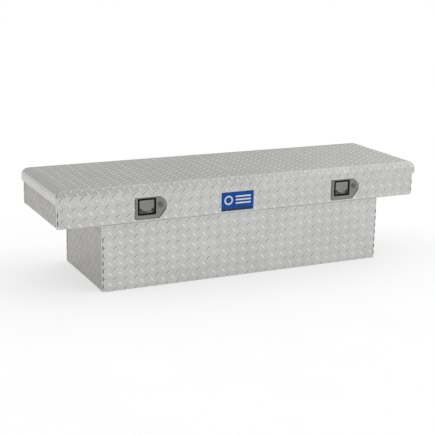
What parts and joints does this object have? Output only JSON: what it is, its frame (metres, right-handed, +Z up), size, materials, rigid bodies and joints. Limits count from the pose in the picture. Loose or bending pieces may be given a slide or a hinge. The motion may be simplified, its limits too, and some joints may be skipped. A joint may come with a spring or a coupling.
{
  "type": "truck tool box",
  "caption": "Aluminium tread-plate crossover tool box for a pickup bed, with a single foam-filled lid, rear hinge, gas struts and flush lockable paddle latches",
  "frame": {"origin": "middle of the box in plan, on its underside", "axes": "+X along the length, -Y is the front with the paddle latches, +Y is the hinge side, +Z up"},
  "size_m": [1.772, 0.514, 0.457],
  "materials": {
    "tread_sheet": "bright aluminium sheet rolled with a raised two-way tread pattern",
    "plain_sheet": "mill finish aluminium",
    "stainless": "polished stainless steel",
    "zinc_steel": "zinc plated steel",
    "chrome_lock": "chromed lock parts",
    "chrome_rod": "hard chromed piston rod",
    "seal_rubber": "black rubber",
    "lid_foam": "rigid foam core",
    "black_enamel": "black enamel",
    "nameplate_enamel": "blue enamelled plate with a white edge"
  },
  "bodies": {
    "tub": {"floor_panel": "tread_sheet", "lower_front_panel": "tread_sheet", "lower_rear_panel": "tread_sheet", "left_lower_end": "tread_sheet", "right_lower_end": "tread_sheet", "front_seam_strip": "plain_sheet", "rear_seam_strip": "plain_sheet", "left_saddle_pan": "tread_sheet", "right_saddle_pan": "tread_sheet", "left_tray_front": "tread_sheet", "middle_tray_front": "tread_sheet", "right_tray_front": "tread_sheet", "upper_rear_panel": "tread_sheet", "rim_flange": "tread_sheet", "rim_seal": "seal_rubber", "hinge_leaf_tub": "stainless", "hinge_pin": "stainless", "nameplate": "nameplate_enamel", "left_latch_bezel": "stainless", "left_latch_gasket": "seal_rubber", "left_paddle_pin": "stainless", "left_lock_barrel": "chrome_lock", "left_lock_nut": "zinc_steel", "left_latch_frame": "zinc_steel", "left_catch_pin": "stainless", "left_strut_foot_stud": "zinc_steel", "left_strut_foot_plate": "zinc_steel", "right_latch_bezel": "stainless", "right_latch_gasket": "seal_rubber", "right_paddle_pin": "stainless", "right_lock_barrel": "chrome_lock", "right_lock_nut": "zinc_steel", "right_latch_frame": "zinc_steel", "right_catch_pin": "stainless", "right_strut_foot_stud": "zinc_steel", "right_strut_foot_plate": "zinc_steel"},
    "lid": {"lid_skin": "tread_sheet", "lid_foam": "lid_foam", "lid_liner": "plain_sheet", "hinge_leaf_lid": "stainless", "left_striker": "zinc_steel", "left_strut_head_bracket": "zinc_steel", "right_striker": "zinc_steel", "right_strut_head_bracket": "zinc_steel"},
    "left_paddle_body": {"left_paddle": "stainless"},
    "left_lock_body": {"left_lock_plug": "chrome_lock", "left_lock_cam": "zinc_steel"},
    "left_catch_body": {"left_rotary_catch": "zinc_steel"},
    "left_pawl_body": {"left_trip_pawl": "zinc_steel"},
    "left_strut_cylinder_body": {"left_strut_cylinder": "black_enamel"},
    "left_strut_rod_body": {"left_strut_rod": "chrome_rod", "left_strut_head_stud": "zinc_steel"},
    "right_paddle_body": {"right_paddle": "stainless"},
    "right_lock_body": {"right_lock_plug": "chrome_lock", "right_lock_cam": "zinc_steel"},
    "right_catch_body": {"right_rotary_catch": "zinc_steel"},
    "right_pawl_body": {"right_trip_pawl": "zinc_steel"},
    "right_strut_cylinder_body": {"right_strut_cylinder": "black_enamel"},
    "right_strut_rod_body": {"right_strut_rod": "chrome_rod", "right_strut_head_stud": "zinc_steel"}
  },
  "joints": [
    {"name": "lid_hinge", "type": "hinge", "parent": "tub", "child": "lid", "pos_m": [0, 0.2533, 0.3965], "axis": [-1, 0, 0], "range_deg": [0, 60]},
    {"name": "left_paddle_pull", "type": "hinge", "parent": "tub", "child": "left_paddle_body", "pos_m": [-0.485, -0.246, 0.3835], "axis": [-1, 0, 0], "range_deg": [0, 28], "stiffness_Nm_per_rad": 0.6},
    {"name": "left_pawl_trip", "type": "hinge", "parent": "tub", "child": "left_pawl_body", "pos_m": [-0.485, -0.195, 0.3585], "axis": [1, 0, 0], "range_deg": [0, 46.5]},
    {"name": "left_catch_turn", "type": "hinge", "parent": "tub", "child": "left_catch_body", "pos_m": [-0.485, -0.194, 0.39], "axis": [1, 0, 0], "range_deg": [0, 34], "stiffness_Nm_per_rad": 0.2},
    {"name": "left_lock_turn", "type": "hinge", "parent": "tub", "child": "left_lock_body", "pos_m": [-0.423, -0.24, 0.364], "axis": [0, 1, 0], "range_deg": [0, 90]},
    {"name": "left_strut_swing", "type": "hinge", "parent": "tub", "child": "left_strut_cylinder_body", "pos_m": [-0.66, 0.182, 0.208], "axis": [-1, 0, 0], "range_deg": [0, 30.1]},
    {"name": "left_strut_slide", "type": "slide", "parent": "left_strut_cylinder_body", "child": "left_strut_rod_body", "axis": [0, -0.5412, 0.8409], "range_m": [0, 0.1299]},
    {"name": "right_paddle_pull", "type": "hinge", "parent": "tub", "child": "right_paddle_body", "pos_m": [0.485, -0.246, 0.3835], "axis": [-1, 0, 0], "range_deg": [0, 28], "stiffness_Nm_per_rad": 0.6},
    {"name": "right_pawl_trip", "type": "hinge", "parent": "tub", "child": "right_pawl_body", "pos_m": [0.485, -0.195, 0.3585], "axis": [1, 0, 0], "range_deg": [0, 46.5]},
    {"name": "right_catch_turn", "type": "hinge", "parent": "tub", "child": "right_catch_body", "pos_m": [0.485, -0.194, 0.39], "axis": [1, 0, 0], "range_deg": [0, 34], "stiffness_Nm_per_rad": 0.2},
    {"name": "right_lock_turn", "type": "hinge", "parent": "tub", "child": "right_lock_body", "pos_m": [0.547, -0.24, 0.364], "axis": [0, 1, 0], "range_deg": [0, 90]},
    {"name": "right_strut_swing", "type": "hinge", "parent": "tub", "child": "right_strut_cylinder_body", "pos_m": [0.66, 0.182, 0.208], "axis": [-1, 0, 0], "range_deg": [0, 30.1]},
    {"name": "right_strut_slide", "type": "slide", "parent": "right_strut_cylinder_body", "child": "right_strut_rod_body", "axis": [0, -0.5412, 0.8409], "range_m": [0, 0.1299]}
  ],
  "couplings": [
    {"joint": "left_pawl_trip", "follows": "left_paddle_pull", "ratio": 1.65},
    {"joint": "left_strut_swing", "follows": "lid_hinge", "ratio": 0.50047},
    {"joint": "left_strut_slide", "follows": "lid_hinge", "m_per_rad": 0.12394},
    {"joint": "right_pawl_trip", "follows": "right_paddle_pull", "ratio": 1.65},
    {"joint": "right_strut_swing", "follows": "lid_hinge", "ratio": 0.50047},
    {"joint": "right_strut_slide", "follows": "lid_hinge", "m_per_rad": 0.12394}
  ]
}
